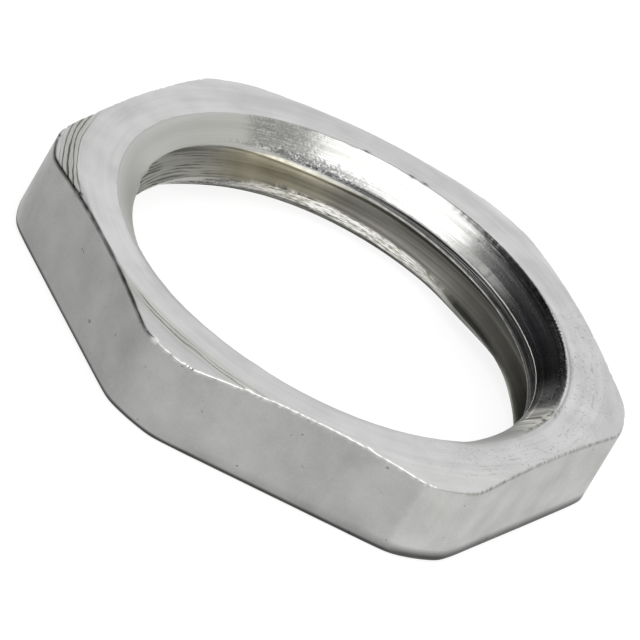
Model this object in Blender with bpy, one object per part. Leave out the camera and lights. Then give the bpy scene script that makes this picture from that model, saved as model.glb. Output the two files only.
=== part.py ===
"""Thin hexagonal lock nut, a single turned and threaded piece lying on its plain face.

Z is the bore's axis and the lower face is at zero. The flats' normals are at 0, 60, 120 degrees and so on.
The hexagon is bar stock, turned on its upper side: a cylinder takes the corners down, and a shallow cone
meets each flat in a hyperbola. The bore has a countersink at each mouth and a right-hand helical thread
with 80 degree flanks that runs out through both.
"""

import math

import bmesh
import bpy
from mathutils import Matrix, Vector

# Sizes in metres, angles in degrees.
wall_to_flats = 0.0014  # from the thread's roots out to each flat
thickness = 0.0031
corner_turned_off = 0.000492  # how far each sharp corner is turned down to the cylinder
face_inset = 0.00005  # from the flats in to the edge of the flat upper face
face_cone_angle = 19.0  # below the upper face
lower_edge_break = 0.00009  # on the flats and on the turned corners

major_diameter = 0.0152  # over the thread's roots
pitch = 0.0254 / 18
flank_angle = 40.0  # each flank from the plane square to the axis
crest_bored_off = 0.00002  # the hole's radius over that of the thread's full form
upper_mouth_margin = 0.00015  # from the roots out to the edge of the upper countersink
lower_mouth_margin = 0.0005  # the same at the lower face
mouth_angle = 45.0
groove_direction = 173.0  # where the groove's middle meets the upper face, from the first flat

segments_round = 180
segments_thread_turn = 72
cutter_overrun = 0.0004  # how far a cutting shape stands past the surface that it cuts
weld = 1e-6

across_flats = major_diameter + 2 * wall_to_flats

# The thread's full form follows its pitch.
thread_depth = 0.4767 * pitch
root_flat = 0.1 * pitch
root_radius = major_diameter / 2
crest_radius = root_radius - thread_depth + crest_bored_off


def material(name, colour, metallic, roughness):
    made = bpy.data.materials.new(name)
    made.use_nodes = True
    shader = made.node_tree.nodes["Principled BSDF"]
    shader.inputs["Base Color"].default_value = (*colour, 1.0)
    shader.inputs["Metallic"].default_value = metallic
    shader.inputs["Roughness"].default_value = roughness
    made.diffuse_color = (*colour, 1.0)
    return made


def add_object(name, data):
    mesh = bpy.data.meshes.new(name)
    data.to_mesh(mesh)
    data.free()
    made = bpy.data.objects.new(name, mesh)
    bpy.context.scene.collection.objects.link(made)
    return made


def hexagonal_bar():
    """Prism on the flats' width, its lower edge broken, standing past the upper face."""
    rings = (
        (across_flats / 2 - lower_edge_break, 0.0),
        (across_flats / 2, lower_edge_break),
        (across_flats / 2, thickness + cutter_overrun),
    )
    data = bmesh.new()
    loops = []
    for apothem, height in rings:
        corner = apothem / math.cos(math.pi / 6)
        angles = [math.pi / 6 + k * math.pi / 3 for k in range(6)]
        loops.append([data.verts.new((corner * math.cos(a), corner * math.sin(a), height)) for a in angles])
    for low, high in zip(loops, loops[1:]):
        for k in range(6):
            data.faces.new((low[k], low[(k + 1) % 6], high[(k + 1) % 6], high[k]))
    data.faces.new(reversed(loops[0]))
    data.faces.new(loops[-1])
    return add_object("lock_nut", data)


def turned(name, profile):
    """Closed solid of revolution from (radius, height) pairs, from the lower end of the axis to the upper."""
    data = bmesh.new()
    points = [data.verts.new((radius, 0.0, height)) for radius, height in profile]
    edges = [data.edges.new(pair) for pair in zip(points, points[1:])]
    bmesh.ops.spin(
        data,
        geom=points + edges,
        cent=(0, 0, 0),
        axis=(0, 0, 1),
        angle=2 * math.pi,
        steps=segments_round,
        use_merge=True,
    )
    bmesh.ops.remove_doubles(data, verts=data.verts, dist=weld)
    bmesh.ops.recalc_face_normals(data, faces=data.faces)
    return add_object(name, data)


def turned_outside():
    """Cylinder with the upper cone, and a lower cone that breaks the turned corners' edge."""
    radius = across_flats / 2 / math.cos(math.pi / 6) - corner_turned_off
    face_radius = across_flats / 2 - face_inset
    drop = (radius - face_radius) * math.tan(math.radians(face_cone_angle))
    return turned(
        "turned_outside",
        (
            (0.0, -cutter_overrun),
            (radius - lower_edge_break - cutter_overrun, -cutter_overrun),
            (radius, lower_edge_break),
            (radius, thickness - drop),
            (face_radius, thickness),
            (0.0, thickness),
        ),
    )


def bore_cutter():
    """Hole over the thread's crests with a conical mouth on each face."""
    slope = math.tan(math.radians(mouth_angle))
    upper = root_radius + upper_mouth_margin
    lower = root_radius + lower_mouth_margin
    past = cutter_overrun / slope
    return turned(
        "bore_cutter",
        (
            (0.0, -cutter_overrun),
            (lower + past, -cutter_overrun),
            (crest_radius, (lower - crest_radius) * slope),
            (crest_radius, thickness - (upper - crest_radius) * slope),
            (upper + past, thickness + cutter_overrun),
            (0.0, thickness + cutter_overrun),
        ),
    )


def thread_cutter():
    """The groove's cross-section carried up a right-hand helix, from a pitch below the nut to a pitch above it."""
    half_root = root_flat / 2
    half_crest = half_root + (root_radius - crest_radius) * math.tan(math.radians(flank_angle))
    inner = crest_radius - cutter_overrun
    section = (
        (inner, -half_crest),
        (crest_radius, -half_crest),
        (root_radius, -half_root),
        (root_radius, half_root),
        (crest_radius, half_crest),
        (inner, half_crest),
    )
    steps = math.ceil((thickness + 2 * pitch) / pitch * segments_thread_turn)
    turns_to_upper_face = (thickness + pitch) / pitch
    start_angle = math.radians(groove_direction) - 2 * math.pi * turns_to_upper_face
    data = bmesh.new()
    corners = [data.verts.new((radius, 0.0, height - pitch)) for radius, height in section]
    face = data.faces.new(corners)
    bmesh.ops.rotate(data, verts=corners, cent=(0, 0, 0), matrix=Matrix.Rotation(start_angle, 3, "Z"))
    bmesh.ops.spin(
        data,
        geom=[face],
        cent=(0, 0, 0),
        axis=(0, 0, 1),
        dvec=Vector((0, 0, pitch / segments_thread_turn)),
        angle=2 * math.pi * steps / segments_thread_turn,
        steps=steps,
    )
    bmesh.ops.recalc_face_normals(data, faces=data.faces)
    return add_object("thread_cutter", data)


def cut(target, cutter, operation):
    """Boolean of target and cutter; the cutter stays as a wire object that isn't rendered."""
    cutter.hide_render = True
    cutter.display_type = "WIRE"
    modifier = target.modifiers.new(cutter.name, "BOOLEAN")
    modifier.operation = operation
    modifier.solver = "EXACT"
    modifier.object = cutter


def apply_and_shade(target):
    """The cut shape as the object's own mesh, smooth round the turned faces and sharp where they meet."""
    graph = bpy.context.evaluated_depsgraph_get()
    mesh = bpy.data.meshes.new_from_object(target.evaluated_get(graph), depsgraph=graph)
    target.modifiers.clear()
    target.data = mesh
    mesh.shade_smooth()
    mesh.set_sharp_from_angle(angle=math.radians(12))


for item in list(bpy.data.objects):
    bpy.data.objects.remove(item)

nut = hexagonal_bar()
nut.data.materials.append(material("nickel_plated_brass", (0.62, 0.61, 0.585), 1.0, 0.28))
cut(nut, turned_outside(), "INTERSECT")
cut(nut, bore_cutter(), "DIFFERENCE")
cut(nut, thread_cutter(), "DIFFERENCE")
apply_and_shade(nut)
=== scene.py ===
"""Looks of a thin nickel-plated lock nut: one fine surface over the solid nut, its plated finishes, floor and light.

Lengths are millimetres until a mesh is made; the nut's axis is Z and its lower face is at zero. Places round the
nut are degrees from the middle of its first flat, anticlockwise from above; the photograph sees it from about -70.
"""

import math
from types import SimpleNamespace

import bpy
import numpy as np
from mathutils import Matrix, Vector


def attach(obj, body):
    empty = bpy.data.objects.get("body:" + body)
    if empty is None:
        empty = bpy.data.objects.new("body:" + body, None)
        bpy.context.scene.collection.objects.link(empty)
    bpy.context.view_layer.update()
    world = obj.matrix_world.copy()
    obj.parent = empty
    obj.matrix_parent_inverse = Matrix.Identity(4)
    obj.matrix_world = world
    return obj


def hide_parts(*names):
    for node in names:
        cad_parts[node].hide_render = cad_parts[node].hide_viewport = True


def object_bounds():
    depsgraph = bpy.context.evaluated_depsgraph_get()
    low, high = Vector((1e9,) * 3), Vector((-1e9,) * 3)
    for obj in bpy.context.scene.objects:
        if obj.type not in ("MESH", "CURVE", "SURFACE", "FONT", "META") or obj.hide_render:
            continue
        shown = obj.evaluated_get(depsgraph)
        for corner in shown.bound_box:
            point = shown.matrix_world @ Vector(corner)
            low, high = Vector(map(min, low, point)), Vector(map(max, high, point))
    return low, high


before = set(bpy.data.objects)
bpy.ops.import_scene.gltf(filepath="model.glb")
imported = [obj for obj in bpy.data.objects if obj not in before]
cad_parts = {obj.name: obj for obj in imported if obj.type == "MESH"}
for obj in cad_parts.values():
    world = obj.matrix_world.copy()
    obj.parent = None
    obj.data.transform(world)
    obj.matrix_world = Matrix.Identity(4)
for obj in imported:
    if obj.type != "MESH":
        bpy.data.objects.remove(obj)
cad_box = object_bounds()

MM = 0.001
TURN = 2 * math.pi

# The nut's sizes, the first three from the solid's box.
across_flats, across_corners, thickness = np.round((np.array(cad_box[1]) - np.array(cad_box[0])) / MM, 2).tolist()
corner_radius = across_corners / 2
face_radius = 8.95
cone_slope = math.tan(math.radians(19.0))
edge_break = 0.09
pitch = 25.4 / 18
root_radius = 7.6
crest_radius = root_radius - 0.4767 * pitch + 0.02
half_root = 0.05 * pitch  # half the groove's flat bottom
half_crest = 0.087  # half the crest's flat top
lower_flank = math.tan(math.radians(40.0))
upper_flank = math.tan(math.radians(29.0))
upper_mouth = 7.75
lower_mouth = 8.1
groove_turn = 173.0 / 360.0  # where the groove's middle meets the upper face, in turns
groove_fades = (-0.40, -0.06)  # where its last turn fades out, in turns from the first flat
groove_levels = (-0.35, -0.05)  # where the rows over it turn level
left_over_lean = 0.45  # outward for each millimetre up, over the last crest
shelf_height = 1.72  # up to which the groove's upper flank is filled on the left
mouth_inset = 0.05  # how far inside each mouth the wall's own rows begin
nick_at = -133.7  # degrees, on the upper edge
knob_at = -93
upper_side_from = 2.6  # height over which a face outside the bore is on the upper side
grain_radius = 8.5  # where the length of a turning mark is measured

columns = 720


def linear(code):
    """An sRGB hex colour as linear values with alpha."""
    parts = np.array([int(code[i : i + 2], 16) for i in (1, 3, 5)]) / 255
    straight = np.where(parts <= 0.04045, parts / 12.92, ((parts + 0.055) / 1.055) ** 2.4)
    return (*straight.tolist(), 1.0)


def add(tree, kind, inputs=(), output=0, **settings):
    """Adds one shader node, sets its properties, and sets or links its inputs, given by name or number or in
    order. Returns one of its outputs, if it has any."""
    made = tree.nodes.new("ShaderNode" + kind)
    for name, value in settings.items():
        setattr(made, name, value)
    for name, value in inputs.items() if isinstance(inputs, dict) else enumerate(inputs):
        if isinstance(value, bpy.types.NodeSocket):
            tree.links.new(value, made.inputs[name])
        else:
            made.inputs[name].default_value = value
    return made.outputs[output] if len(made.outputs) else None


# ---- shape


def ripple(angle, seed, lowest, highest, count):
    """Smooth noise round the ring: sines of whole frequencies with random phases, about -1 to 1."""
    random = np.random.default_rng(seed)
    frequency = random.integers(lowest, highest + 1, count)[:, None]
    phase = random.uniform(0, TURN, count)[:, None]
    waves = np.sin(frequency * angle.reshape(1, -1) + phase).sum(0)
    return waves.reshape(angle.shape) / math.sqrt(count)


def window(degrees, start, end, soft):
    """1 between two angles in degrees and 0 elsewhere round the ring, over a soft edge (a logistic curve)."""
    middle, half = (start + end) / 2, (end - start) / 2
    away = np.abs((degrees - middle + 180) % 360 - 180)
    return 1 / (1 + np.exp(np.clip((away - half) / soft, -30, 30)))


def stretches(degrees, *rows):
    """Sum of windows round the ring: each row is an amount, the angles between which it holds, and how soft its
    ends are."""
    return sum(amount * window(degrees, start, end, soft) for amount, start, end, soft in rows)


def rise(value, start, end):
    """0 up to the start and 1 from the end, a cubic between them."""
    t = np.clip((value - start) / (end - start), 0, 1)
    return t * t * (3 - 2 * t)


def line(value, middle, width):
    """A bell curve across a thin line: 1 at its middle and about a third one width away."""
    return np.exp(-(((value - middle) / width) ** 2))


def mottle(angle, height, seed, lowest, highest, count):
    """Smooth noise over the bore's wall: two ripples that climb it at different slants, added."""
    first = ripple(angle + 0.13 * height, seed, lowest, highest, count)
    return (first + ripple(angle - 0.17 * height, seed + 1, lowest, highest, count)) / math.sqrt(2)


def soft_min(a, b, width):
    """The smaller of two, the corner between them rounded by a hyperbola of that width."""
    return 0.5 * (a + b - np.sqrt((a - b) ** 2 + width**2))


def soft_max(a, b, width):
    """The greater of two, the corner between them rounded by a hyperbola of that width."""
    return 0.5 * (a + b + np.sqrt((a - b) ** 2 + width**2))


def from_flat(angle):
    """Signed angle from the middle of the nearest flat."""
    return (angle + TURN / 12) % (TURN / 6) - TURN / 12


def column_angles():
    """Angles round the ring, closer at the twelve upright edges: the inverse of a summed density."""
    fine = np.linspace(0, TURN, 20001)
    edge = math.acos(across_flats / 2 / corner_radius)
    density = 1 + 2.5 * np.exp(-(((np.abs(from_flat(fine)) - edge) / 0.035) ** 2))
    summed = np.concatenate([[0], np.cumsum((density[1:] + density[:-1]) / 2)])
    return np.interp(np.arange(columns) / columns * summed[-1], summed, fine)


def side_radius(angle):
    """Half the width over the cosine of the angle from the nearest flat's middle, cut by the turned cylinder."""
    return soft_min(across_flats / 2 / np.cos(from_flat(angle)), corner_radius, 0.14)


def nicks(angle, seed, middle, reach, count, depth, width):
    """Small dents along an edge: a sum of bell curves at random angles within reach of the middle."""
    random = np.random.default_rng(seed)
    at = np.radians(random.uniform(middle - reach, middle + reach, count))[:, None]
    deep = random.uniform(0.3, 1, count)[:, None] * depth
    wide = random.uniform(0.5, 1.5, count)[:, None] * width
    away = (angle[None, :] - at + math.pi) % TURN - math.pi
    return (deep * np.exp(-((away / wide) ** 2))).sum(0)


def rounded(corners, bends, steps, spans):
    """Rows of points along a section: straight runs between corners, and at each inner corner a parabola that
    starts and ends a bend's length away from it. Corners are (radius, height) arrays over the columns.
    Returns the rows, and for each row the number of the run that it belongs to."""
    rows, runs = [], []
    last = len(corners) - 1
    corners = [np.stack(corner) for corner in corners]
    for k, here in enumerate(corners):
        start = end = here
        if 0 < k < last:
            back, ahead = corners[k - 1] - here, corners[k + 1] - here
            far_back, far_ahead = np.hypot(*back), np.hypot(*ahead)
            start = here + back / far_back * np.minimum(bends[k], 0.45 * far_back)
            end = here + ahead / far_ahead * np.minimum(bends[k], 0.45 * far_ahead)
        if k:
            previous = rows[-1]
            for t in spans[k - 1]:
                rows.append(previous + (start - previous) * t)
                runs.append(k - 1)
        for t in np.linspace(0, 1, steps[k] + 1) if steps[k] else [0.0]:
            rows.append((1 - t) ** 2 * start + 2 * t * (1 - t) * here + t**2 * end)
            runs.append(k if t > 0.49 or k == 0 else k - 1)
    return np.stack(rows), np.array(runs)


def eased(count, tight=0.03):
    """Places from 0 to 1 along a run, one of them close to each end so that the run shades flat."""
    return [tight, *np.linspace(0, 1, count + 2)[1:-1], 1 - tight]


def raised_lip(angle):
    """1 on the right, where the upper mouth's edge is left as a raised lip."""
    return window(np.degrees(angle), -16, 48, 6)


def upper_radius(angle):
    """Radius of the upper mouth: a little smaller at the raised lip."""
    return upper_mouth - 0.09 * raised_lip(angle)


def soft_mouth(angle):
    """1 where the upper mouth's edge is worn well round: a stretch on the left and a short one on the right."""
    degrees = np.degrees(angle)
    return np.maximum(window(degrees, 172, 268, 7), window(degrees, -22, 15, 2.5))


def upper_inset(angle):
    """How far below the upper face the wall's own rows begin: deeper where the mouth's edge is well rounded."""
    return mouth_inset + 0.60 * soft_mouth(angle)


def lower_radius(angle):
    """Radius of the lower mouth, which isn't cut quite round."""
    return lower_mouth + stretches(
        np.degrees(angle),
        (0.04, 85, 105, 8),
        (0.14, 105, 138, 5),
        (-0.10, 52, 88, 4),
        (-0.14, 74, 90, 3),
        (-0.44, 10, 52, 4),
        (-0.22, 151, 184, 5),
    )


def groove_height(angle):
    """Height of the groove's middle on its last turn: one pitch a turn, and a little high on the left."""
    return thickness + pitch * (angle / TURN - groove_turn) + 0.13 * window(np.degrees(angle), 140, 184, 5)


def crest_top(angle):
    """Height of the last crest's upper corner."""
    return groove_height(angle) - pitch / 2 + half_crest


def hole_radius(angle):
    """Radius over the crests: the hole is bored a little off the turning, which leaves it tighter on the left."""
    return crest_radius - 0.15 * window(np.degrees(angle), 192, 240, 9)


def lip_drop(angle):
    """How far the last crest's lower edge is pushed down into the groove on the seen side."""
    return stretches(np.degrees(angle), (0.05, 80, 120, 4), (0.15, 120, 152, 4))


def foot_height(angle):
    """Height at which the countersink's cone comes down to the crests."""
    return thickness - upper_radius(angle) + hole_radius(angle)


def wall_radius(angle, height):
    """Bore's wall: the greatest of the helical groove's radius and the two cones of the mouths, the lower cone
    flatter on the right. The groove is a rounded trapezoid in the height above its own middle, its upper flank
    the steeper and filled up to a level shelf on the left. It fades on the hidden side, above the last crest,
    where the countersink, cut last, has burnished it: what is left of it leans outward from the crest's upper
    corner and turns back under the cone's foot."""
    degrees = np.degrees(angle)
    turns = (height - groove_height(angle)) / pitch
    across = (turns + 0.5) % 1 - 0.5
    below = -across * pitch - half_root
    above = across * pitch - half_root - (root_radius - crest_radius) * (lower_flank - upper_flank)
    above = above + lip_drop(angle)
    above = above + window(degrees, 196, 250, 4) * (height - shelf_height - above)
    flank = root_radius - np.maximum(below / lower_flank, above / upper_flank)
    flank = soft_min(flank, root_radius, 0.16)
    faded = rise(np.round(turns) + angle / TURN, *groove_fades)
    crest = hole_radius(angle) + 0.006 * ripple(angle[0], 5, 20, 160, 24)[None, :]
    foot = foot_height(angle)
    left_over = np.maximum(height - crest_top(angle), 0) * (1 - rise(height, foot - 0.07, foot - 0.01))
    crest = crest + left_over_lean * left_over * rise(degrees, 0, 14) * (1 - rise(degrees, 150, 170))
    groove = soft_max(flank - 0.9 * faded, crest, 0.05)
    upper = upper_radius(angle) - (thickness - height)
    lower = lower_radius(angle) - height * (1 + 0.35 * window(degrees, 52, 84, 5))
    return soft_max(soft_max(groove, upper, 0.03), lower, 0.03)


def mouth_end(angle, height):
    """Wall's radius at one height for every column, where the outside's section ends."""
    return wall_radius(angle[None, :], height[None, :])[0]


def cone_height(radius):
    """Height of the turned cone on the upper side."""
    return thickness - np.maximum(radius - face_radius, 0.0) * cone_slope


def outer_rows(angle):
    """The outside's section at every column, from the lower mouth over the lower face, the side, the cone and
    the upper face to the upper mouth, with small dents along the upper edge."""
    side = side_radius(angle)
    # Each row of dents: seed, middle and reach in degrees, how many, depth in mm and width in radians.
    dents = (
        (3, -62, 29, 70, 0.055, 0.005),
        (8, 0, 26, 24, 0.035, 0.005),
        (4, -120, 28, 16, 0.020, 0.008),
        (9, 120, 90, 60, 0.035, 0.006),
        (1, nick_at, 0.01, 1, 0.11, 0.010),
    )
    dent = sum(nicks(angle, *row) for row in dents)
    knob = 0.08 * line(np.degrees(angle) - 360, knob_at, 0.9)
    sway = 0.006 * ripple(angle, 2, 8, 60, 16)
    one = np.ones_like(angle)
    inset, lower, upper = upper_inset(angle), lower_radius(angle), upper_radius(angle)
    teeth = window(np.degrees(angle), 24, 92, 3)
    mouth = upper + 0.010 * ripple(angle, 12, 6, 90, 20) + 0.026 * teeth * ripple(angle, 13, 90, 330, 30)
    past_dents = side - np.minimum(0.12, 0.5 * (side - face_radius))
    corners = [
        (mouth_end(angle, mouth_inset * one), mouth_inset * one),
        (lower, 0 * one),
        (side - edge_break + sway, 0 * one),
        (side, edge_break + sway),
        (side, cone_height(side) - 0.15),
        (side - dent, cone_height(side) - 0.3 * dent + knob),
        (past_dents, cone_height(past_dents)),
        (np.minimum(face_radius, side - 0.03), thickness * one),
        (mouth, thickness * one),
        (mouth_end(angle, thickness - inset), thickness - inset),
    ]
    mouth_bend = 0.05 + 0.6 * soft_mouth(angle) + 0.06 * raised_lip(angle)
    bends = [0, 0.015, 0.04, 0.04, 0.03, 0.06, 0.03, 0.30, mouth_bend, 0]
    steps = [0, 2, 2, 3, 1, 5, 1, 5, 8, 0]
    spans = [[], eased(3), [0.5], eased(6), [], [], eased(6), eased(11), []]
    return rounded(corners, bends, steps, spans)


def inner_rows(angle):
    """The wall's rows, a group for each turn of the groove from crest to crest: each row keeps one phase of the
    helix, so that crests and roots stay sharp. Past the groove's end the group above the last crest is level
    instead: some rows up to the countersink's foot and the others up its cone."""
    half = np.array([0.03, 0.05, 0.07, 0.12, 0.19, 0.27, 0.35, 0.41, 0.428, 0.44, 0.465])
    phases = np.concatenate([-half[::-1], [0], half, [0.5]])
    to_foot = np.array([0.14, 0.32, 0.50, 0.68, 0.84, 0.94, 1.0])
    up_cone = np.linspace(0.03, 1.0, len(phases) - len(to_foot))
    low, high = mouth_inset, thickness - upper_inset(angle)
    foot = foot_height(angle)
    below = np.zeros_like(angle)
    groups = []
    for turn in range(-5, 2):
        along = turn + angle / TURN
        helical = groove_height(angle) + pitch * (turn + phases[:, None])
        step = np.maximum(foot - below, 0.03)
        level = [below + step * to_foot[:, None], below + step + (high - below - step) * up_cone[:, None]]
        groups.append(helical + (np.concatenate(level) - helical) * rise(along, *groove_levels))
        below = groups[-1][-1]
    height = np.concatenate(groups)
    wall = wall_radius(np.broadcast_to(angle, height.shape), np.clip(height, low, high))
    return height, wall, len(phases)


def nut_mesh():
    """Closed ring of quads from the outer rows and the wall's rows. A wall row past either mouth shares that
    mouth's point, and the helix's last column meets its first a turn's rows further up."""
    angle = column_angles()
    outside, runs = outer_rows(angle)
    height, wall, per_turn = inner_rows(angle)
    low, high = mouth_inset, thickness - upper_inset(angle)
    rows_out, rows_in = len(outside), len(height)
    cosine, sine = np.cos(angle), np.sin(angle)
    shell = np.stack([outside[:, 0] * cosine, outside[:, 0] * sine, outside[:, 1]], -1).reshape(-1, 3)
    bore = np.stack([wall * cosine, wall * sine, np.clip(height, low, high)], -1).reshape(-1, 3)
    points = np.concatenate([shell, bore])

    outer = np.arange(rows_out * columns).reshape(rows_out, columns)
    inner = rows_out * columns + np.arange(rows_in * columns).reshape(rows_in, columns)
    inner = np.where(height <= low + 1e-6, outer[0][None, :], inner)
    inner = np.where(height >= high - 1e-6, outer[-1][None, :], inner)
    ahead = np.roll(outer, -1, 1)
    quads_out = np.stack([outer[:-1], ahead[:-1], ahead[1:], outer[1:]], -1).reshape(-1, 4)
    first_again = np.full(rows_in, outer[0, 0])
    first_again[per_turn:] = inner[: rows_in - per_turn, 0]
    ahead = np.concatenate([inner[:, 1:], first_again[:, None]], 1)
    quads_in = np.stack([inner[:-1], inner[1:], ahead[1:], ahead[:-1]], -1).reshape(-1, 4)

    # Which finish each face has: 0 upper face and cone, 1 sides, 2 bore, 3 lower face.
    finish_out = np.repeat(np.array([2, 3, 1, 1, 1, 0, 0, 0, 2])[runs[:-1]], columns)
    finish_in = np.full(len(quads_in), 2)

    # Faces whose corners have run together at a mouth become triangles or go.
    faces, finishes = [], []
    for quads, finish in ((quads_out, finish_out), (quads_in, finish_in)):
        same = quads == np.roll(quads, -1, 1)
        whole = ~same.any(1)
        faces.append((quads[whole], finish[whole]))
        one_edge = same.sum(1) == 1
        keep = ~same[one_edge]
        faces.append((quads[one_edge][keep].reshape(-1, 3), finish[one_edge]))
    used = np.unique(np.concatenate([part.ravel() for part, _ in faces]))
    renumber = np.zeros(len(points), dtype=np.int64)
    renumber[used] = np.arange(len(used))
    return points[used], [(renumber[part], finish) for part, finish in faces]


def in_the_bore(radius, angle, z):
    """True within the upper countersink's cone or, further down, within the lower mouth."""
    in_cone = radius < upper_radius(angle) - thickness + z + 0.03 + 0.2 * soft_mouth(angle)
    return in_cone | (radius < lower_radius(angle) - 0.02) & (z < thickness - 0.4)


def bore_zones(radius, angle, z):
    """Where each part of the bore lies, most as numbers from 0 to 1 at the points.

    inside is the whole bore. tapped is the thread's wall up to its last crest, countersunk the lower mouth's cone,
    band the strip from the last crest to the foot of the upper cone, and cone that cone. lip, foot_line and
    upper_line are painted highlights, bright lines at the crest's lower corner, at the cone's foot and a little above
    it. sheen_stretch is a stretch of the cone lightened low down and darkened high up by painted light and shade, and
    flecked; patch is a torn one, and grey the left stretch of the thread's wall. crest and foot are heights, turn_up
    the angle in degrees on the groove's last turn, and jagged a small uneven height."""
    degrees = np.degrees(angle)
    turn_up = (degrees + 20) % 360 - 20
    inside = in_the_bore(radius, angle, z)
    crest = groove_height(np.radians(turn_up)) - pitch / 2
    foot = foot_height(np.radians(turn_up))
    with_band = window(degrees, -15, 175, 3)
    wall_top = np.minimum(foot, with_band * (crest - 0.09) + (1 - with_band) * foot)
    drop = lip_drop(angle)
    # Painted highlight: a bright line at the last crest's lower corner.
    lip = line(z, crest - 0.08 - 0.6 * drop, 0.045 + 0.2 * drop) * (radius < crest_radius + 0.2) * inside
    cone = inside * rise(z, foot, foot + 0.05)
    jagged = 0.05 * mottle(angle, z, 33, 60, 330, 30)
    return SimpleNamespace(
        turn_up=turn_up,
        inside=inside,
        crest=crest,
        foot=foot,
        jagged=jagged,
        tapped=inside * (1 - rise(z, wall_top - 0.02, wall_top + 0.02)),
        countersunk=inside * (radius < lower_radius(angle) - z + 0.05) * (z < 1.3),
        band=inside * rise(z, crest - 0.11, crest - 0.05) * (1 - rise(z, foot - 0.03, foot + 0.01)),
        cone=cone,
        lip=lip * np.clip(0.85 + 0.25 * ripple(angle, 23, 20, 200, 30), 0, 1.1),
        # Painted highlights: bright lines at the cone's foot and a little above it.
        foot_line=line(z, foot, 0.022) * inside,
        upper_line=line(z, foot + 0.17, 0.015) * inside * window(degrees, 3, 62, 4),
        # Stretch of the cone that takes painted light and shade, and flecks.
        sheen_stretch=cone * window(degrees, 50, 84, 2.5),
        patch=inside * window(degrees, 135 + 35 * jagged, 152, 1.0) * rise(z, 2.35, 2.6),
        grey=window(degrees, 157, 225, 3),
    )


def outside_painted_light_and_marks(radius, angle, z, inside):
    """The plate's tone outside the bore: painted shade for each flat, a dark line of painted shade along the lower
    edge, painted highlight and shade along the upper edge, painted shade in its nick and a painted highlight on its
    knob, a painted gleam on one corner, painted light on the cone and the face, and marks on the rim of the upper
    mouth. All are windows round the ring times steps across it."""
    degrees = np.degrees(angle)
    side = side_radius(angle)
    top_edge = cone_height(side)
    on_side = rise(radius, side - 0.06, side - 0.02) * (1 - rise(z, top_edge - 0.03, top_edge))
    on_cone = rise(radius, face_radius, face_radius + 0.1) * (z > upper_side_from) * (1 - on_side)
    on_face = (z > thickness - 0.02) * ~inside

    # Painted shade: the front left flat is the darkest. The corner between the two front flats has a painted gleam.
    flats = stretches(degrees, (-0.27, -150, -91, 2.5), (-0.15, -91, -38, 5), (0.06, -84, -62, 6), (0.04, -30, 25, 4))
    gleam = 0.17 * rise(degrees, -37.5, -35.5) * (1 - rise(degrees, -34, -23))
    tone = (1 + flats * on_side) * (1 + gleam * on_side)
    # Painted shade: a dark line along the lower edge.
    line_height = 0.17 + stretches(degrees, (0.04, -80, -34, 3), (0.09, -34, 40, 3))
    low_shade_line = (1 - rise(z, line_height - 0.05, line_height + 0.03)) * rise(radius, side - 0.16, side - 0.08)
    tone *= 1 - 0.85 * low_shade_line
    # Painted light: the cone lighter at the front right and darker at the front left, the face a little lighter.
    tone *= 1 + on_cone * stretches(degrees, (0.13, -48, -10, 5), (-0.08, -120, -58, 5))
    tone *= 1 + 0.06 * on_face * window(degrees, -45, 100, 12)

    # Painted shade and highlight: the upper edge is dark on the left, light in front and dark again on the right.
    to_edge = np.hypot(radius - side, z - top_edge)
    edge = 1 - rise(to_edge, 0.045, 0.085)
    left_edge = (1 - rise(to_edge, 0.055, 0.10)) * (0.85 + 0.15 * ripple(angle, 22, 20, 120, 16))
    uneven = np.clip(0.7 + 0.6 * ripple(angle, 21, 60, 330, 30), 0, 1.3)
    tone *= 1 - 0.72 * left_edge * window(degrees, -153, -95, 1.5)
    tone *= 1 + 0.38 * edge * window(degrees, -93, -36, 1.5) * uneven
    tone *= 1 - 0.35 * edge * window(degrees, -27, 27, 1.5) * uneven
    # Painted shade in the nick and a painted highlight on the knob.
    nick_and_knob = line(degrees, nick_at, 0.55) - line(degrees, knob_at, 0.7)
    tone *= 1 - 0.6 * nick_and_knob * (1 - rise(to_edge, 0.07, 0.15))

    rim = line(radius, 7.80, 0.035) * (z > thickness - 0.03)
    tone *= 1 - 0.45 * rim * window(degrees, -16, 62, 4)
    for place, across in ((121.2, 7.78), (109.2, 7.76), (105.7, 7.81)):
        tone *= 1 - 0.85 * line(degrees, place, 0.8) * line(radius, across, 0.05)
    return tone


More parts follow.
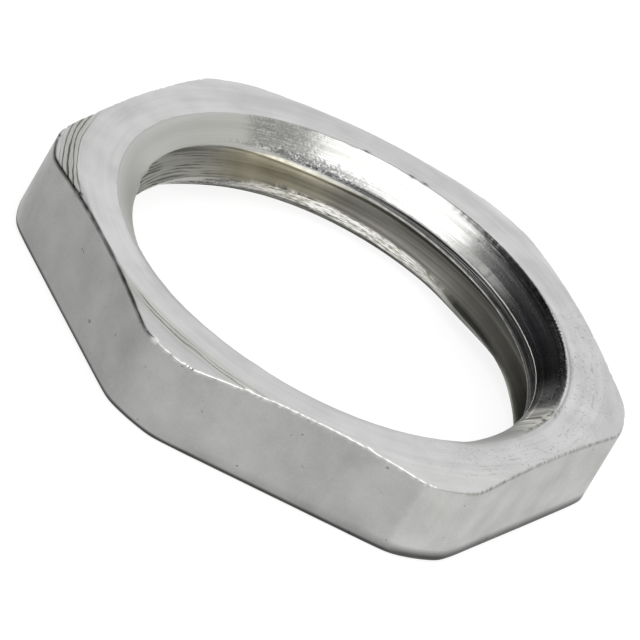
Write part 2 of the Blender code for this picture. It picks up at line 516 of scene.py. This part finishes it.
def bore_painted_light_and_marks(zones, angle, z, tone):
    """The tone with painted light and shade laid over the bore, and its torn patch a little darker."""
    degrees = np.degrees(angle)

    # Painted shade and light on the thread's wall, dark on the right and light on the left: pairs of an angle and a
    # tone for the root's upper half, its lower half and the lower mouth.
    pairs = (
        ((30, 0.10), (50, 0.10), (70, 0.20), (105, 0.31), (120, 0.72), (132, 1.9), (145, 1.9), (160, 1.1)),
        ((30, 0.3), (50, 0.8), (60, 1.0), (80, 0.5), (100, 0.48), (120, 0.54), (130, 0.9), (160, 1.0)),
        ((30, 0.38), (50, 0.9), (60, 0.3), (68, 0.14), (82, 0.13), (88, 0.9))
        + ((105, 1.5), (130, 1.4), (145, 1), (155, 0.6), (168, 1)),
    )
    upper, under, mouth = (np.interp(zones.turn_up, *zip(*row)) for row in pairs)
    root = zones.crest - pitch / 2
    shade = under + (upper - under) * rise(z, root - 0.12, root + 0.04)
    shade += (1 - shade) * (1 - window(degrees, -14, 215, 4))
    shade += (mouth - shade) * zones.countersunk
    shade += 0.35 * line(z, root - 0.13, 0.08) * window(degrees, 122, 150, 4)
    tone *= 1 + (shade - 1) * zones.tapped

    # Painted shade over the band over the last crest, and painted highlights for the bright lines that bound it.
    tone *= 1 - zones.band * stretches(degrees, (0.25, -12, 124, 4), (0.55, -12, 70, 4))
    tone += zones.lip * stretches(degrees, (0.72, 122, 147, 3), (0.42, 5, 122, 5))
    tone += zones.foot_line * stretches(degrees, (0.6, 3, 72, 4), (0.3, 3, 104, 4))
    tone += 1.2 * zones.upper_line

    # Upper cone and its rim: painted shade on the cone from 88 to 134 and from 18 to 40 degrees, painted light low
    # and painted shade high on the sheen stretch, a darker rim, and the torn patch darker.
    tone *= 1 - zones.cone * stretches(degrees, (0.12, 88, 134, 3), (0.65, 18.5, 40, 1.5))
    low_on_cone = (1 - rise(z, 2.4, 2.75)) * window(degrees, 62, 84, 3)
    tone *= 1 + zones.sheen_stretch * (0.5 + 0.3 * low_on_cone)
    tone *= 1 - 0.5 * zones.sheen_stretch * rise(z, 2.72, 2.9) * window(degrees, 56, 84, 3)
    rim = rise(z, 2.97, 3.01) * zones.inside * window(degrees, 58, 96, 2)
    tone *= 1 - rim * np.clip(0.62 + 0.15 * ripple(angle, 45, 40, 200, 30), 0, 0.95)
    tone *= 1 - 0.20 * zones.patch

    # Painted shade: a dark line at the lower mouth's edge.
    line_top = 0.15 + stretches(degrees, (0.24, 122, 150, 4), (0.10, 88, 122, 4))
    low_shade_line = (1 - rise(z, line_top - 0.07, line_top + 0.07)) * zones.countersunk
    tone *= 1 - (0.7 + 0.2 * window(degrees, 88, 122, 4)) * low_shade_line

    # Left end, where the wall is greyer and the cone runs down to the hole's edge: painted shade darkens the wall
    # upwards, and painted light and shade lie on the cone.
    tone *= 1 - 0.25 * zones.tapped * zones.grey * (1 - zones.countersunk)
    tone *= 1 - 0.38 * zones.tapped * window(degrees, 155, 198, 3) * rise(z, 1.25, 2.2)
    darker = 0.15 * zones.grey * rise(z, 2.0, 2.2) + 0.22 * window(degrees, 157, 178, 3) * rise(z, 1.5, 1.8)
    tone *= 1 - darker * zones.tapped
    lighter = window(degrees, 182, 200, 4) * rise(z, zones.foot - 0.1, zones.foot + 0.1) * (1 - rise(z, 2.7, 2.9))
    tone *= 1 + 0.15 * lighter * zones.inside
    tone *= 1 - 0.12 * zones.inside * window(degrees, 200, 262, 5) * (1 - rise(z, 2.45, 2.75))
    return tone


def torn_metal(zones, angle, z):
    """How far the cut left the metal ragged and dark: patches of the bore and pits on the upper face's right."""
    degrees = np.degrees(angle)
    top_edge = cone_height(side_radius(angle))
    pitted = ~zones.inside * (z > upper_side_from) * rise(z, top_edge - 0.01, thickness)
    over_crest = rise(z, zones.crest - 0.05, zones.crest)
    over_crest = over_crest * (1 - rise(z, zones.foot + 0.10 + zones.jagged, zones.foot + 0.24 + zones.jagged))
    at_rim = rise(z, thickness - 0.17 + zones.jagged, thickness - 0.10 + zones.jagged)
    torn = 0.45 * zones.patch + 0.6 * zones.band * window(degrees, 118, 172, 4) * (1 - zones.lip)
    torn = np.clip(torn, 0, 1) + 0.28 * zones.sheen_stretch + 0.8 * pitted * window(degrees, -28, 62, 6)
    torn += 0.9 * zones.countersunk * window(degrees, 147, 168, 2)
    torn += 0.9 * zones.inside * over_crest * window(degrees, 118, 154, 4)
    return torn + 0.9 * zones.inside * at_rim * window(degrees, 24, 58, 3)


def frayed_metal(zones, angle, z):
    """How far the cut left the metal ragged and bright: the lower mouth, and two stretches of the upper cone."""
    degrees = np.degrees(angle)
    frayed = zones.countersunk * stretches(degrees, (1, 86, 190, 3), (-1, 147, 168, 2))
    right_end = window(degrees, 3, 21 + 60 * zones.jagged, 1.0)
    frayed += zones.inside * right_end * rise(z, 2.42 + zones.jagged, 2.55 + zones.jagged)
    return frayed + 0.4 * zones.cone * window(degrees, 70, 86, 2.5) * (1 - rise(z, 2.45, 2.70))


def ringed_metal(zones, angle, z):
    """How far tool rings show in the bore: under the upper mouth's rim, and low on the left of the wall."""
    at_rim = zones.inside * rise(z, thickness - 0.30 + zones.jagged, thickness - 0.18 + zones.jagged)
    at_rim = at_rim * stretches(np.degrees(angle), (1, 60, 90, 2), (0.25, 14, 60, 2))
    return at_rim + 0.8 * zones.tapped * zones.grey * (1 - rise(z, 1.5, 1.9))


def scored_metal(zones, radius, angle, z):
    """1 on two stretches of the upper side that single deep rings cross."""
    degrees = np.degrees(angle)
    ring = np.exp(-(((radius - 9.42) / 0.26) ** 4)) * window(degrees, -166, -131, 2)
    ring = ring + 0.8 * np.exp(-(((radius - 9.15) / 0.16) ** 4)) * window(degrees, -120, -72, 4)
    return np.clip(ring, 0, 1) * (z > upper_side_from) * ~zones.inside


def wear_and_painted_light(points):
    """Numbers at each point, from its radius, angle and height: tone multiplies the plate's colour and carries
    painted light and shade as well as marks, tapped is 1 on the thread's dull wall, banded on the ringed band over it
    and satin on the dull ends of the upper cone. The others say where the cut left the metal torn, frayed, ringed or
    scored."""
    x, y, z = points.T
    radius, angle = np.hypot(x, y), np.arctan2(y, x)
    degrees = np.degrees(angle)
    zones = bore_zones(radius, angle, z)
    lines = np.clip(zones.lip + zones.foot_line + zones.upper_line, 0, 1)
    plated_over = (1 - 0.4 * zones.lip) * (1 - 0.75 * zones.grey) * (1 - 0.45 * window(degrees, -14, 122, 6))
    return {
        "tone": bore_painted_light_and_marks(zones, angle, z, outside_painted_light_and_marks(radius, angle, z, zones.inside)),
        "tapped": zones.tapped * plated_over,
        "torn": torn_metal(zones, angle, z),
        "frayed": frayed_metal(zones, angle, z),
        "ringed": ringed_metal(zones, angle, z),
        "banded": zones.band * window(degrees, -12, 124, 4) * (1 - lines),
        "satin": zones.cone * np.maximum(window(degrees, 150, 262, 8), window(degrees, -30, 20, 1.5)),
        "scored": scored_metal(zones, radius, angle, z),
    }


def add_mesh(name, points, faces, materials, layers):
    """A smooth mesh object from points in millimetres, groups of faces with their finishes' numbers, and
    named numbers at the points."""
    mesh = bpy.data.meshes.new(name)
    corners = np.concatenate([part.ravel() for part, _ in faces])
    sizes = np.concatenate([np.full(len(part), part.shape[1]) for part, _ in faces])
    mesh.vertices.add(len(points))
    mesh.vertices.foreach_set("co", (points * MM).astype(np.float32).ravel())
    mesh.loops.add(len(corners))
    mesh.loops.foreach_set("vertex_index", corners.astype(np.int32))
    mesh.polygons.add(len(sizes))
    mesh.polygons.foreach_set("loop_start", np.concatenate([[0], np.cumsum(sizes)[:-1]]).astype(np.int32))
    mesh.polygons.foreach_set("material_index", np.concatenate([f for _, f in faces]).astype(np.int32))
    mesh.polygons.foreach_set("use_smooth", np.ones(len(sizes), dtype=bool))
    mesh.update(calc_edges=True)
    mesh.validate()
    for made in materials:
        mesh.materials.append(made)
    for label, values in layers.items():
        mesh.attributes.new(label, "FLOAT", "POINT").data.foreach_set("value", values.astype(np.float32))
    piece = bpy.data.objects.new(name, mesh)
    bpy.context.scene.collection.objects.link(piece)
    return piece


# ---- finishes


def new_finish(name):
    """A bare metal material: its tree and its shader."""
    made = bpy.data.materials.new(name)
    made.use_nodes = True
    shader = made.node_tree.nodes["Principled BSDF"]
    shader.inputs["Metallic"].default_value = 1.0
    return made, made.node_tree, shader


def turning_place(tree, climb):
    """Where a point lies on a turned face: radius plus climb times the height in mm, and the direction from the
    axis. A climb of 1 rises across every such face but the lower mouth's cone, and -1 does so across that one."""
    place = add(tree, "TexCoord", output="Object")
    flat = add(tree, "VectorMath", (place, (1, 1, 0)), operation="MULTIPLY")
    radius = add(tree, "VectorMath", (flat,), output="Value", operation="LENGTH")
    height = add(tree, "SeparateXYZ", (place,), output="Z")
    across = add(tree, "Math", (height, climb, radius), operation="MULTIPLY_ADD")
    across = add(tree, "Math", (across, 1 / MM), operation="MULTIPLY")
    return across, add(tree, "VectorMath", (flat,), operation="NORMALIZE")


def lathe_grain(tree, spacing, arc, detail=2.0, seed=0.0, climb=1.0):
    """Noise drawn out into rings round the axis, spacing mm from ring to ring and about arc mm long at the middle
    of the upper face."""
    across, way = turning_place(tree, climb)
    rings = add(tree, "Math", (across, 1 / spacing, seed), operation="MULTIPLY_ADD")
    rings = add(tree, "CombineXYZ", {"Z": rings})
    way = add(tree, "VectorMath", {0: way, "Scale": grain_radius / arc}, operation="SCALE")
    both = add(tree, "VectorMath", (way, rings), operation="ADD")
    return add(tree, "TexNoise", {"Vector": both, "Scale": 1.0, "Detail": detail})


def tool_lines(tree, spacing, thin, wander):
    """Thin lines round the axis, spacing mm apart, that wander: 1 on a line, falling to 0 beside it."""
    across, _ = turning_place(tree, 1.0)
    astray = lathe_grain(tree, spacing * 2.5, 2.2, 3.0, seed=7.0)
    astray = add(tree, "Math", (astray, wander), operation="MULTIPLY")
    place = add(tree, "Math", (across, 1 / spacing, astray), operation="MULTIPLY_ADD")
    place = add(tree, "Math", (place,), operation="FRACT")
    off = add(tree, "Math", (place, 0.5), operation="SUBTRACT")
    off = add(tree, "Math", (off,), operation="ABSOLUTE")
    return add(tree, "MapRange", (off, thin * 0.4, thin, 1.0, 0.0))


def speckle(tree, size, detail=2.0, stretch=(1, 1, 1)):
    """Plain noise with blotches of about that many millimetres, drawn out by the stretch."""
    place = add(tree, "TexCoord", output="Object")
    place = add(tree, "VectorMath", (place, [1 / (size * MM * s) for s in stretch]), operation="MULTIPLY")
    return add(tree, "TexNoise", {"Vector": place, "Scale": 1.0, "Detail": detail})


def coated(tree, colour, coats):
    """A colour with others laid over it: each coat is where it lies, how much it covers there, and its colour."""
    for where, cover, coat in coats:
        share = add(tree, "Math", (where, cover), operation="MULTIPLY")
        colour = add(tree, "Mix", {0: share, 6: colour, 7: coat}, output=2, data_type="RGBA")
    return colour


def two_tone(tree, pattern, start, end, dark, light):
    """The dark colour where the pattern is at its start, the light one at its end, and a blend between."""
    return coated(tree, linear(dark), [(add(tree, "MapRange", (pattern, start, end)), 1.0, linear(light))])


def dress(tree, shader, colour, roughness, relief):
    """Gives the shader its colour times the mesh's tone, which carries painted light and shade as well as marks, its
    roughness, and bumps one over another: each is a height and its full depth in mm."""
    tone = add(tree, "Attribute", output="Fac", attribute_name="tone")
    grey = add(tree, "CombineColor", (tone, tone, tone))
    colour = add(tree, "Mix", {0: 1.0, 6: colour, 7: grey}, output=2, data_type="RGBA", blend_type="MULTIPLY")
    tree.links.new(colour, shader.inputs["Base Color"])
    tree.links.new(roughness, shader.inputs["Roughness"])
    under = {}
    for height, depth in relief:
        bump = add(tree, "Bump", {"Height": height, "Strength": 1.0, "Distance": depth * MM, **under})
        under = {"Normal": bump}
    tree.links.new(under["Normal"], shader.inputs["Normal"])


def faced_finish(name, dark, light, spacing, depth):
    """Nickel over a face cut on the lathe: fine faint rings, soft wide bands, small pits where it is torn and
    single deep dark rings where it is scored."""
    made, tree, shader = new_finish(name)
    torn = add(tree, "Attribute", output="Fac", attribute_name="torn")
    scored = add(tree, "Attribute", output="Fac", attribute_name="scored")
    fine = lathe_grain(tree, spacing, 7.0)
    wide = lathe_grain(tree, spacing * 9, 30.0, seed=31.0)
    smear = lathe_grain(tree, 0.22, 1.6, 3.0, seed=43.0)
    cloud = add(tree, "Math", (smear, 0.45, speckle(tree, 1.3, 3.0)), operation="MULTIPLY_ADD")
    cloud = add(tree, "Math", (cloud, 0.22), operation="SUBTRACT")
    tone = add(tree, "Math", (wide, cloud), operation="ADD")
    tone = add(tree, "Math", (fine, 0.5, tone), operation="MULTIPLY_ADD")

    # Deep rings are broken into short lengths.
    broken = add(tree, "MapRange", (lathe_grain(tree, 0.4, 3.0, seed=19.0), 0.38, 0.52))
    deep = add(tree, "Math", (tool_lines(tree, 0.09, 0.21, 1.9), broken), operation="MULTIPLY")
    deep = add(tree, "Math", (deep, scored), operation="MULTIPLY")

    # Torn marks are pits, short arcs, and a web of scratches where a coarse noise crosses its middle.
    pits = add(tree, "MapRange", (speckle(tree, 0.11, 3.0), 0.60, 0.68))
    arcs = add(tree, "MapRange", (lathe_grain(tree, 0.07, 1.2, seed=3.0), 0.66, 0.72))
    web = add(tree, "Math", (speckle(tree, 2.2, 1.0), 0.5), operation="SUBTRACT")
    web = add(tree, "Math", (web,), operation="ABSOLUTE")
    web = add(tree, "MapRange", (web, 0.001, 0.004, 0.5, 0.0))
    marks = add(tree, "Math", (arcs, web), operation="MAXIMUM")
    marks = add(tree, "Math", (pits, marks), operation="MAXIMUM")
    marks = add(tree, "Math", (marks, torn), operation="MULTIPLY")

    colour = two_tone(tree, tone, 0.95, 1.55, dark, light)
    coats = [(scored, 0.55, linear("#BFC0B4")), (deep, 0.8, linear("#4A4944")), (marks, 0.6, linear("#888784"))]
    roughness = add(tree, "MapRange", (tone, 0.95, 1.55, 0.42, 0.30))
    grit = speckle(tree, 0.06, 2.0)
    relief = [(fine, depth), (wide, depth * 2), (grit, 0.0018), (deep, -0.01), (marks, -0.004)]
    dress(tree, shader, coated(tree, colour, coats), roughness, relief)
    return made


def drawn_finish(name, dark, light):
    """Nickel over the drawn flats of hexagon bar: a little mottled, with faint lines along the bar and a few
    pits."""
    made, tree, shader = new_finish(name)
    cloud = speckle(tree, 1.5, 4.0)
    streak = speckle(tree, 0.16, 2.0, stretch=(1, 1, 9))
    grit = speckle(tree, 0.09, 2.0)
    tone = add(tree, "Math", (streak, 0.12, cloud), operation="MULTIPLY_ADD")
    tone = add(tree, "Math", (grit, 0.3, tone), operation="MULTIPLY_ADD")
    pits = add(tree, "MapRange", (speckle(tree, 0.22, 1.0), 0.76, 0.80))
    colour = two_tone(tree, tone, 0.5, 0.95, dark, light)
    colour = coated(tree, colour, [(pits, 0.6, linear("#6A6A68"))])
    roughness = add(tree, "MapRange", (tone, 0.5, 0.95, 0.46, 0.38))
    dress(tree, shader, colour, roughness, [(cloud, 0.008), (streak, 0.0005), (grit, 0.0016), (pits, -0.01)])
    return made


def bore_finish(name):
    """Countersink and thread in one: bright ringed metal above, dull olive metal where the tap has cut, and
    black and white flecks where the edge is torn."""
    made, tree, shader = new_finish(name)
    labels = ("tapped", "torn", "frayed", "ringed", "banded", "satin")
    numbers = [add(tree, "Attribute", output="Fac", attribute_name=label) for label in labels]
    tapped, torn, frayed, ringed, banded, satin = numbers

    # Grain of the turned metal, its flecks and shreds, the band's fine threads, and broken rings.
    fine = lathe_grain(tree, 0.08, 16.0)
    wide = lathe_grain(tree, 0.5, 40.0, seed=31.0)
    lines = add(tree, "MapRange", (lathe_grain(tree, 0.11, 24.0, 3.0, seed=11.0), 0.59, 0.67))
    cloud = speckle(tree, 1.2, 3.0)
    flecks = lathe_grain(tree, 0.06, 0.7, 2.0, seed=5.0)
    flecks = add(tree, "Math", (speckle(tree, 0.07, 3.0), flecks), operation="ADD")
    streaks = lathe_grain(tree, 0.11, 1.3, 3.0, seed=15.0, climb=-1.0)
    shreds = lathe_grain(tree, 0.10, 0.25, 3.0, seed=25.0, climb=-1.0)
    shreds = add(tree, "Math", (shreds, streaks), operation="ADD")
    threads = add(tree, "MapRange", (lathe_grain(tree, 0.05, 5.0, 3.0, seed=51.0), 0.42, 0.60))
    broken = add(tree, "MapRange", (lathe_grain(tree, 0.3, 1.6, 3.0, seed=19.0), 0.40, 0.56))
    rings = add(tree, "Math", (tool_lines(tree, 0.13, 0.32, 2.4), broken), operation="MULTIPLY")
    rings = add(tree, "Math", (rings, ringed), operation="MULTIPLY")

    tone = add(tree, "Math", (fine, wide), operation="ADD")
    olive = add(tree, "Math", (cloud, fine), operation="ADD")
    bright = two_tone(tree, tone, 0.8, 1.2, "#BABBB7", "#CDCDCB")
    dull = two_tone(tree, olive, 0.8, 1.25, "#837F70", "#A4A08F")
    ragged = two_tone(tree, flecks, 0.98, 1.22, "#38383C", "#E8E8EA")
    shredded = two_tone(tree, shreds, 0.82, 1.10, "#6E6D66", "#EBEAE4")
    threaded = two_tone(tree, threads, 0.0, 1.0, "#38383A", "#C4C4C0")
    coats = [(satin, 0.8, linear("#C5C6C3")), (tapped, 1.0, dull), (torn, 0.75, ragged), (banded, 1.0, threaded)]
    coats += [(frayed, 0.85, shredded), (rings, 0.8, linear("#2C2C31"))]

    roughness = add(tree, "MapRange", (tone, 0.8, 1.2, 0.26, 0.18))
    for where, more in ((tapped, 0.40), (satin, 0.35), (frayed, 0.25), (banded, 0.25), (torn, 0.10)):
        roughness = add(tree, "Math", (where, more, roughness), operation="MULTIPLY_ADD")

    relief = [(fine, 0.0020), (wide, 0.002), (lines, 0.0020)]
    for pattern, where, depth in ((flecks, torn, 0.010), (shreds, frayed, 0.008), (threads, banded, 0.015)):
        relief.append((add(tree, "Math", (pattern, where), operation="MULTIPLY"), depth))
    relief += [(rings, -0.004), (cloud, 0.008)]
    dress(tree, shader, coated(tree, bright, coats), roughness, relief)
    return made


# Upper face and chamfer, the last cut on the lathe: bright and soft, with rings a tenth of a millimetre apart.
faced_nickel = faced_finish("faced_nickel", "#C6C6C5", "#D8D8D7", 0.10, 0.0010)
# Flats keep the skin of the drawn bar under the plate: greyer and a little mottled.
drawn_nickel = drawn_finish("drawn_nickel", "#AAAAA8", "#BBBBB9")
# Bore: ringed and bright in the countersink, dull and a little olive in the thread.
bored_nickel = bore_finish("bored_nickel")
# The face that the nut lies on, cut off and left a little coarser.
lower_nickel = faced_finish("lower_nickel", "#BEBEBC", "#D0D0CE", 0.14, 0.0020)

points, faces = nut_mesh()
finishes = [faced_nickel, drawn_nickel, bored_nickel, lower_nickel]
nut = add_mesh("lock_nut_surface", points, faces, finishes, wear_and_painted_light(points))
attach(nut, "root")
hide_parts("lock_nut")


# ---- floor, light and camera


def make_floor():
    """A square of pale paper just under the nut, white to the camera and in reflections, with its shadow kept."""
    made = bpy.data.materials.new("white_paper")
    made.use_nodes = True
    tree = made.node_tree
    tree.nodes.clear()
    matt = add(tree, "BsdfDiffuse", {"Color": (0.22, 0.22, 0.22, 1)})
    seen = 0.0
    for ray in ("Is Camera Ray", "Is Glossy Ray", "Is Transmission Ray"):
        seen = add(tree, "Math", (add(tree, "LightPath", output=ray), seen), operation="MAXIMUM")
    strength = add(tree, "Math", (seen, 0.86), operation="MULTIPLY")
    glow = add(tree, "Emission", {"Color": (1, 1, 1, 1), "Strength": strength})
    add(tree, "OutputMaterial", {"Surface": add(tree, "AddShader", (matt, glow))})
    mesh = bpy.data.meshes.new("floor")
    reach, under = 1.5, -0.01 * MM
    ends = [(-reach, -reach, under), (reach, -reach, under), (reach, reach, under), (-reach, reach, under)]
    mesh.from_pydata(ends, [], [(0, 1, 2, 3)])
    mesh.materials.append(made)
    floor = bpy.data.objects.new("floor", mesh)
    bpy.context.scene.collection.objects.link(floor)


def make_world():
    """A white studio with a darker side and a dark card: each falls off with the angle from its middle."""
    world = bpy.data.worlds.new("studio")
    bpy.context.scene.world = world
    world.use_nodes = True
    tree = world.node_tree
    tree.nodes.clear()
    way = add(tree, "TexCoord", output="Generated")
    colour = linear("#F6F6F7")
    # Each patch: its middle, the angles in degrees at which it begins and is full, and its colour.
    patches = (
        ((0.82, 0.30, 0.50), 46, 20, "#DEDED8"),
        ((-0.93, 0.10, 0.36), 37, 25, "#141418"),
        ((-0.69, -0.35, 0.63), 27, 19, "#141418"),
    )
    for middle, outer, inner, shade in patches:
        near = add(tree, "VectorMath", (way, Vector(middle).normalized()), output="Value", operation="DOT_PRODUCT")
        share = add(tree, "MapRange", (near, math.cos(math.radians(outer)), math.cos(math.radians(inner))))
        colour = coated(tree, colour, [(share, 1.0, linear(shade))])
    add(tree, "OutputWorld", {"Surface": add(tree, "Background", {"Color": colour, "Strength": 1.0})})


def soft_box(name, toward, distance, wide, deep, radiance):
    """A rectangular area lamp that faces the nut; its power is radiance times pi times its area."""
    lamp = bpy.data.lights.new(name, "AREA")
    lamp.shape = "RECTANGLE"
    lamp.size, lamp.size_y = wide, deep
    lamp.energy = radiance * math.pi * wide * deep
    made = bpy.data.objects.new(name, lamp)
    toward = Vector(toward).normalized()
    side = Vector((1.0, 0.33, 0.02))
    side = (side - toward * side.dot(toward)).normalized()
    turned = Matrix((side, toward.cross(side), toward)).transposed().to_4x4()
    turned.translation = toward * distance
    made.matrix_world = turned
    made.visible_camera = False
    bpy.context.scene.collection.objects.link(made)


def make_camera():
    """The photograph's view: the axes and the place over the nut's middle that were fitted to its outlines."""
    data = bpy.data.cameras.new("camera")
    data.sensor_width = 36.0
    data.lens = 723.02
    made = bpy.data.objects.new("camera", data)
    right = Vector((0.716727, 0.536582, 0.445401))
    up = Vector((-0.624322, 0.209178, 0.75264))
    back = Vector((0.310685, -0.817511, 0.484923))
    place = Vector((0.12356985, -0.32507728, 0.19256127 + thickness / 2 * MM))
    turned = Matrix((right, up, back)).transposed().to_4x4()
    turned.translation = place
    made.matrix_world = turned
    bpy.context.scene.collection.objects.link(made)
    bpy.context.scene.camera = made


make_floor()
make_world()
soft_box("front_soft_box", toward=(0.17, -0.43, 0.88), distance=0.45, wide=0.50, deep=0.20, radiance=1.8)
make_camera()
bpy.context.scene.view_settings.view_transform = "Standard"
